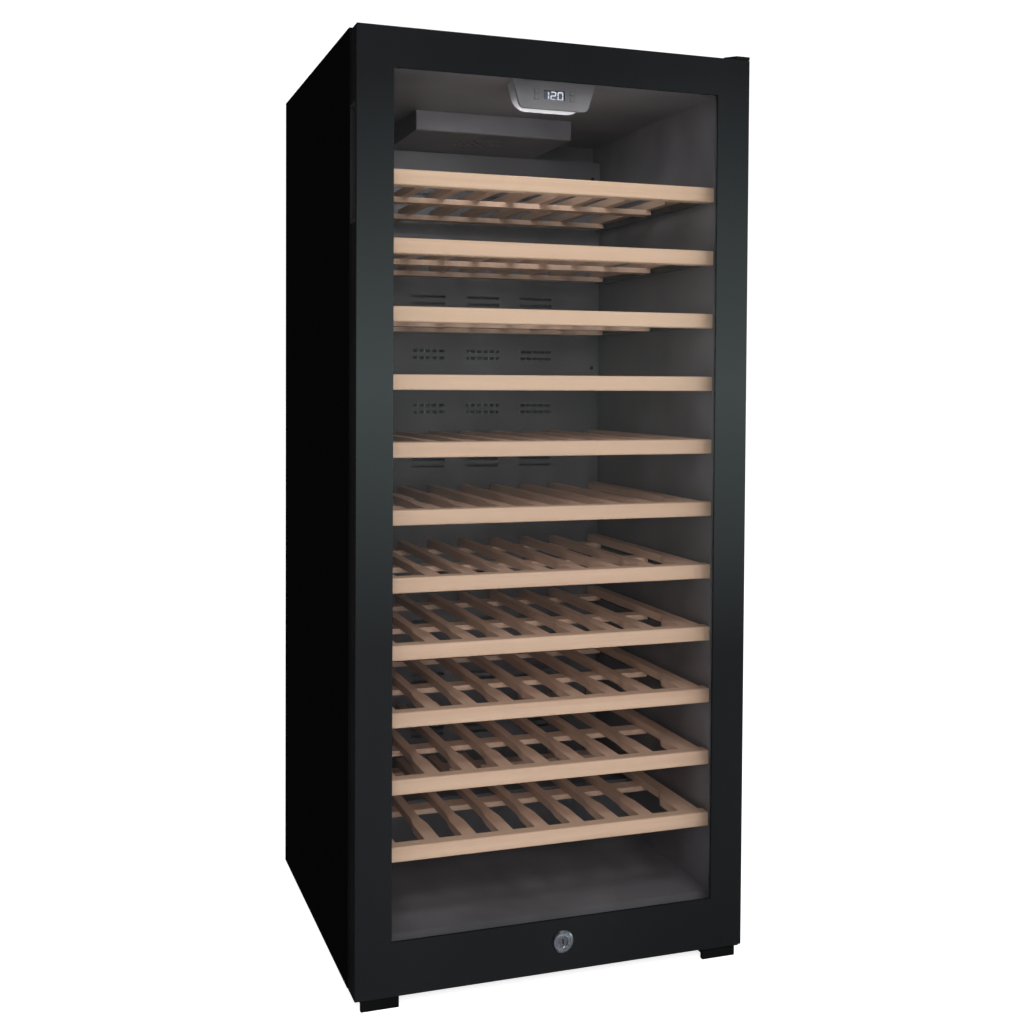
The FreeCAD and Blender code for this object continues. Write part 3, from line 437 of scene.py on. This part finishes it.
def finish_mesh(name, bm, body, materials):
    """Object from a bmesh, riding on a body, in the look of a slot."""
    bmesh.ops.recalc_face_normals(bm, faces=bm.faces)
    mesh = bpy.data.meshes.new(name)
    bm.to_mesh(mesh)
    bm.free()
    piece = bpy.data.objects.new(name, mesh)
    bpy.context.scene.collection.objects.link(piece)
    for mat in materials:
        mesh.materials.append(mat)
    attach(piece, body)
    return piece


def smooth_by_angle(piece, degrees):
    """Smooth shading with sharp edges kept."""
    for face in piece.data.polygons:
        face.use_smooth = True
    piece.data.set_sharp_from_angle(angle=math.radians(degrees))


# ---- front pane ----

def front_pane(glass, enamel):
    """The front glass with its black printed border as its own faces."""
    bm = bmesh.new()
    bm.from_mesh(NODES["outer_glass"].data)
    bmesh.ops.remove_doubles(bm, verts=bm.verts, dist=1e-6)
    cuts = [((-WINDOW_X, 0, 0), (1, 0, 0)), ((WINDOW_X, 0, 0), (1, 0, 0)),
            ((0, 0, WINDOW_Z0), (0, 0, 1)), ((0, 0, WINDOW_Z1), (0, 0, 1))]
    for place, normal in cuts:
        geometry = bm.verts[:] + bm.edges[:] + bm.faces[:]
        bmesh.ops.bisect_plane(bm, geom=geometry, plane_co=place, plane_no=normal)
    for face in bm.faces:
        middle = face.calc_center_median()
        clear = abs(middle.x) < WINDOW_X and WINDOW_Z0 < middle.z < WINDOW_Z1
        face.material_index = 0 if clear else 1
    piece = finish_mesh("front_pane", bm, "door", [glass, enamel])
    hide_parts("outer_glass")


# ---- gasket ----

def gasket_bellows(rubber):
    """Magnetic seal: dart in the groove, sealing lips, bellows and magnet chamber."""
    depth = GASKET_HIGH.y - GASKET_LOW.y
    # millimetres in from the outer edge, share of the depth from the door towards the cabinet
    profile = [(0.4, 0.03), (12.6, 0.03), (12.6, 0.48), (13.0, 0.54), (12.6, 0.60), (11.2, 0.64),
               (12.2, 0.72), (12.4, 0.90), (11.7, 0.99), (1.3, 0.99), (0.6, 0.90), (0.8, 0.72),
               (1.8, 0.64), (0.4, 0.60), (0.0, 0.54), (0.4, 0.48)]
    bm = bmesh.new()
    rings = []
    for inward, share in profile:
        shrink = inward * MM
        x0, x1 = GASKET_LOW.x + shrink, GASKET_HIGH.x - shrink
        z0, z1 = GASKET_LOW.z + shrink, GASKET_HIGH.z - shrink
        y = GASKET_LOW.y + depth * share
        rings.append([bm.verts.new(p) for p in ((x0, y, z0), (x1, y, z0), (x1, y, z1), (x0, y, z1))])
    for index, ring in enumerate(rings):
        after = rings[(index + 1) % len(rings)]
        for corner in range(4):
            other = (corner + 1) % 4
            bm.faces.new((ring[corner], ring[other], after[other], after[corner]))
    piece = finish_mesh("gasket_bellows", bm, "door", [rubber])
    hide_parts("door_gasket")


# ---- display and button marks ----

def flat_bar(bm, start, end, width, y, thickness):
    """Thin bar with pointed ends between two (x, z) points."""
    along = Vector((end[0] - start[0], end[1] - start[1]))
    length = along.length
    along.normalize()
    across = Vector((-along.y, along.x))
    half = width / 2
    outline = [(0, 0), (half, half), (length - half, half),
               (length, 0), (length - half, -half), (half, -half)]
    points = [Vector(start) + along * a + across * c for a, c in outline]
    front = [bm.verts.new((p.x, y, p.y)) for p in points]
    rear = [bm.verts.new((p.x, y + thickness, p.y)) for p in points]
    bm.faces.new(front)
    bm.faces.new(rear[::-1])
    for index in range(len(outline)):
        other = (index + 1) % len(outline)
        bm.faces.new((front[index], rear[index], rear[other], front[other]))


def display_digits(lit):
    """Seven-segment reading of 12.0 on the display block."""
    corners = {"a": ((0, 2), (1, 2)), "b": ((1, 1), (1, 2)), "c": ((1, 0), (1, 1)), "d": ((0, 0), (1, 0)),
               "e": ((0, 0), (0, 1)), "f": ((0, 1), (0, 2)), "g": ((0, 1), (1, 1))}
    middle_x = (DISPLAY_LOW.x + DISPLAY_HIGH.x) / 2
    middle_z = (DISPLAY_LOW.z + DISPLAY_HIGH.z) / 2
    y = BOARD_LOW.y - 0.25 * MM
    bm = bmesh.new()
    for place, segments in enumerate(("bc", "abged", "abcdef")):
        x0 = middle_x + (place - 1) * DIGIT_PITCH - DIGIT_WIDTH / 2
        z0 = middle_z - DIGIT_HEIGHT / 2
        for name in segments:
            ends = []
            for column, row in corners[name]:
                ends.append((x0 + column * DIGIT_WIDTH, z0 + row * DIGIT_HEIGHT / 2))
            flat_bar(bm, ends[0], ends[1], DIGIT_STROKE, y, SEGMENT_T)
    point_x = middle_x + DIGIT_PITCH / 2
    point_z = middle_z - DIGIT_HEIGHT / 2
    half = DIGIT_STROKE / 2
    flat_bar(bm, (point_x - half, point_z), (point_x + half, point_z), DIGIT_STROKE, y, SEGMENT_T)
    finish_mesh("display_digits", bm, "cabinet", [lit])


def display_mask(backlight):
    """Dimly lit mask with bevelled edges on the display block, behind the digits."""
    inset, edge = 0.4 * MM, 0.6 * MM
    x0, x1 = DISPLAY_LOW.x + DISPLAY_RIM + inset, DISPLAY_HIGH.x - DISPLAY_RIM - inset
    z0, z1 = DISPLAY_LOW.z + DISPLAY_RIM + inset, DISPLAY_HIGH.z - DISPLAY_RIM - inset
    bm = bmesh.new()
    rings = []
    for y, shrink in ((BOARD_LOW.y - 0.01 * MM, 0), (BOARD_LOW.y - 0.1 * MM, edge)):
        corners = ((x0 + shrink, z0 + shrink), (x1 - shrink, z0 + shrink),
                   (x1 - shrink, z1 - shrink), (x0 + shrink, z1 - shrink))
        rings.append([bm.verts.new((x, y, z)) for x, z in corners])
    for index in range(4):
        other = (index + 1) % 4
        bm.faces.new((rings[0][index], rings[0][other], rings[1][other], rings[1][index]))
    bm.faces.new(rings[1])
    bm.faces.new(rings[0][::-1])
    finish_mesh("display_mask", bm, "cabinet", [backlight])


def button_mark(name, ink):
    """Printed symbol on one push button, drawn in strokes."""
    low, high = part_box(name)
    x = (low.x + high.x) / 2
    z = (low.z + high.z) / 2
    size = SYMBOL_SIZE
    if name == "power_button":
        turns = [math.radians(120 + 30 * step) for step in range(11)]
        rim = [(x + size * math.cos(t), z + size * math.sin(t)) for t in turns]
        strokes = list(zip(rim, rim[1:])) + [((x, z + 0.3 * size), (x, z + 1.3 * size))]
    elif name == "light_button":
        turns = [math.radians(30 * step) for step in range(13)]
        rim = [(x + 0.7 * size * math.cos(t), z + 0.3 * size + 0.7 * size * math.sin(t)) for t in turns]
        strokes = list(zip(rim, rim[1:]))
        for drop in (0.7, 1.1):
            strokes.append(((x - 0.4 * size, z - drop * size), (x + 0.4 * size, z - drop * size)))
    else:
        tip = 1 if name == "warmer_button" else -1
        point = (x, z + tip * 0.6 * size)
        strokes = [((x + side * size, z - tip * 0.5 * size), point) for side in (-1, 1)]
    bm = bmesh.new()
    for start, end in strokes:
        flat_bar(bm, start, end, SYMBOL_STROKE, low.y - 0.05 * MM, SYMBOL_T)
    finish_mesh(name + "_mark", bm, name, [ink])


# ---- screws ----

def screw_head(bm, place, outward, radius):
    """Domed head with a four-armed recess, standing on a surface that faces along Y."""
    height = 0.55 * radius
    recess = 0.4
    steps = [(1.0, 0.0), (1.0, 0.35), (0.85, 0.8), (0.55, 1.0), (recess, 0.98)]
    rings = []
    for share, lift in steps:
        ring = []
        for index in range(SCREW_SIDES):
            angle = 2 * math.pi * index / SCREW_SIDES
            sunk = 0.45 if share == recess and index % 4 == 0 else 0
            ring.append(bm.verts.new((place[0] + radius * share * math.cos(angle),
                                      place[1] + outward * height * (lift - sunk),
                                      place[2] + radius * share * math.sin(angle))))
        rings.append(ring)
    for below, above in zip(rings, rings[1:]):
        for index in range(SCREW_SIDES):
            other = (index + 1) % SCREW_SIDES
            bm.faces.new((below[index], below[other], above[other], above[index]))
    centre = bm.verts.new((place[0], place[1] + outward * height * 0.45, place[2]))
    for index in range(SCREW_SIDES):
        bm.faces.new((rings[-1][index], rings[-1][(index + 1) % SCREW_SIDES], centre))
    bm.faces.new(rings[0][::-1])


def panel_screws(steel):
    """Screws round the back panel and on the cover inside the cavity."""
    back_y = BACK_HIGH.y - 0.6 * MM
    back_rows = 7
    back_margin = 20 * MM
    back_step = (BACK_HIGH.z - BACK_LOW.z - 2 * back_margin) / (back_rows - 1)
    bm = bmesh.new()
    for side in (-1, 1):
        for row in range(back_rows):
            z = BACK_LOW.z + back_margin + row * back_step
            screw_head(bm, (side * (BACK_HIGH.x - 9 * MM), back_y, z), 1, BACK_SCREW_R)
    for column in (-1, 0, 1):
        screw_head(bm, (column * 130 * MM, back_y, BACK_HIGH.z - 10 * MM), 1, BACK_SCREW_R)
    piece = finish_mesh("back_panel_screws", bm, "cabinet", [steel])
    smooth_by_angle(piece, 40)

    cover_rows = 4
    cover_margin = 30 * MM
    cover_step = (COVER_HIGH.z - COVER_LOW.z - 2 * cover_margin) / (cover_rows - 1)
    bm = bmesh.new()
    for side in (-1, 1):
        for row in range(cover_rows):
            z = COVER_LOW.z + cover_margin + row * cover_step
            screw_head(bm, (side * (COVER_HIGH.x - 14 * MM), COVER_LOW.y, z), -1, COVER_SCREW_R)
    piece = finish_mesh("cover_screws", bm, "cabinet", [steel])
    smooth_by_angle(piece, 40)


# ---- stage and light ----

def add_floor():
    """Plain pale floor."""
    bm = bmesh.new()
    bmesh.ops.create_grid(bm, x_segments=1, y_segments=1, size=FLOOR_HALF)
    mesh = bpy.data.meshes.new("floor")
    bm.to_mesh(mesh)
    bm.free()
    floor = bpy.data.objects.new("floor", mesh)
    bpy.context.scene.collection.objects.link(floor)
    mat, shader, _ = new_material("floor_white")
    tone = ramp(mat, noise(mat, (2, 2, 2), 3), [(0.3, (0.78, 0.78, 0.78)), (0.7, (0.80, 0.80, 0.80))])
    link(mat, tone, shader.inputs["Base Color"])
    link(mat, tone, shader.inputs["Emission Color"])
    shader.inputs["Emission Strength"].default_value = 1.0
    shader.inputs["Roughness"].default_value = 0.9
    shader.inputs["Specular IOR Level"].default_value = 0.0
    mesh.materials.append(mat)
    floor.visible_glossy = False


def area_light(name, place, target, size, power, colour=(1, 1, 1), glossy=True):
    """Soft rectangular lamp aimed at a point."""
    data = bpy.data.lights.new(name, "AREA")
    data.shape = "RECTANGLE"
    data.size, data.size_y = size
    data.energy = power
    data.color = colour
    lamp = bpy.data.objects.new(name, data)
    bpy.context.scene.collection.objects.link(lamp)
    lamp.location = place
    lamp.rotation_euler = (Vector(target) - Vector(place)).to_track_quat("-Z", "Y").to_euler()
    lamp.visible_glossy = glossy


def add_world():
    """White backdrop and soft light; glossy surfaces see a bright band in front of the door instead."""
    world = bpy.data.worlds.new("studio")
    bpy.context.scene.world = world
    world.use_nodes = True
    world.node_tree.nodes.clear()
    place = node(world, "TexCoord")
    parts = node(world, "SeparateXYZ")
    link(world, place.outputs["Generated"], parts.inputs["Vector"])
    height = ramp(world, remap(world, parts.outputs["Z"], -0.5, 0.5, 0.0, 1.0),
                  [(0.08, (0.16, 0.17, 0.20)), (0.30, (0.25, 0.27, 0.30)), (0.5, (1.10, 1.33, 1.33)),
                   (0.73, (0.11, 0.12, 0.145)), (1.0, (0.08, 0.08, 0.1))])
    low = remap(world, parts.outputs["Z"], -0.12, -0.2, 0.0, 1.0)
    far_right = remap(world, parts.outputs["X"], 0.3, 0.42, 0.0, 0.45)
    dim = node(world, "Math", operation="MULTIPLY")
    link(world, low, dim.inputs[0])
    link(world, far_right, dim.inputs[1])
    band = mix_colour(world, dim.outputs[0], height, (0, 0, 0))
    front = remap(world, parts.outputs["Y"], -0.6, 0.0, 1.0, 0.0)
    behind = mix_colour(world, front, (0.1, 0.1, 0.1), band)
    right_side = remap(world, parts.outputs["X"], -0.1, 0.1, 0.0, 1.0)
    mirrored = node(world, "Background", {"Strength": 1.0})
    link(world, mix_colour(world, right_side, (0.01, 0.01, 0.01), behind), mirrored.inputs["Color"])
    soft = node(world, "Background", {"Color": (1, 1, 1, 1), "Strength": 0.5})
    backdrop = node(world, "Background", {"Color": (1, 1, 1, 1), "Strength": 1.1})
    path = node(world, "LightPath")
    mixer = node(world, "MixShader")
    seen = node(world, "MixShader")
    output = node(world, "OutputWorld")
    link(world, path.outputs["Is Glossy Ray"], mixer.inputs["Fac"])
    link(world, soft.outputs["Background"], mixer.inputs[1])
    link(world, mirrored.outputs["Background"], mixer.inputs[2])
    link(world, path.outputs["Is Camera Ray"], seen.inputs["Fac"])
    link(world, mixer.outputs["Shader"], seen.inputs[1])
    link(world, backdrop.outputs["Background"], seen.inputs[2])
    link(world, seen.outputs["Shader"], output.inputs["Surface"])


def add_lights():
    """Soft key beside the camera, a small sparkle for the metal and a lamp in the cavity."""
    area_light("key", (-0.6, -2.8, 1.8), (0, 0, 0.75), (1.5, 1.5), 50, glossy=False)
    area_light("sparkle", (0.25, -1.6, 2.3), (0, -0.2, 0.4), (0.5, 0.5), 12)
    lamp_x = (LENS_LOW.x + LENS_HIGH.x) / 2
    lamp_y = (LENS_LOW.y + LENS_HIGH.y) / 2
    area_light("cavity_lamp", (lamp_x, lamp_y, LENS_LOW.z - 3 * MM), (lamp_x, lamp_y + 0.4, 0.9),
               (0.09, 0.02), 0.3, (0.97, 0.97, 1.0))


# ---- the scene ----

bpy.context.scene.view_settings.view_transform = "Standard"
add_camera()
add_world()
add_floor()
add_lights()
MATERIALS = make_materials()
dress_nodes(MATERIALS)
front_pane(MATERIALS["door_glass"], enamelled_glass("glass_enamel"))
gasket_bellows(MATERIALS["gasket_rubber"])
display_digits(glowing("display_light", (0.95, 0.97, 1.0), 2.6))
display_mask(glowing("display_backlight", (0.30, 0.31, 0.34), 0.9))
SYMBOL_INK = glowing("symbol_ink", (0.5, 0.5, 0.52), 0.2)
for button in ("power_button", "light_button", "warmer_button", "colder_button"):
    button_mark(button, SYMBOL_INK)
panel_screws(MATERIALS["black_bracket"])
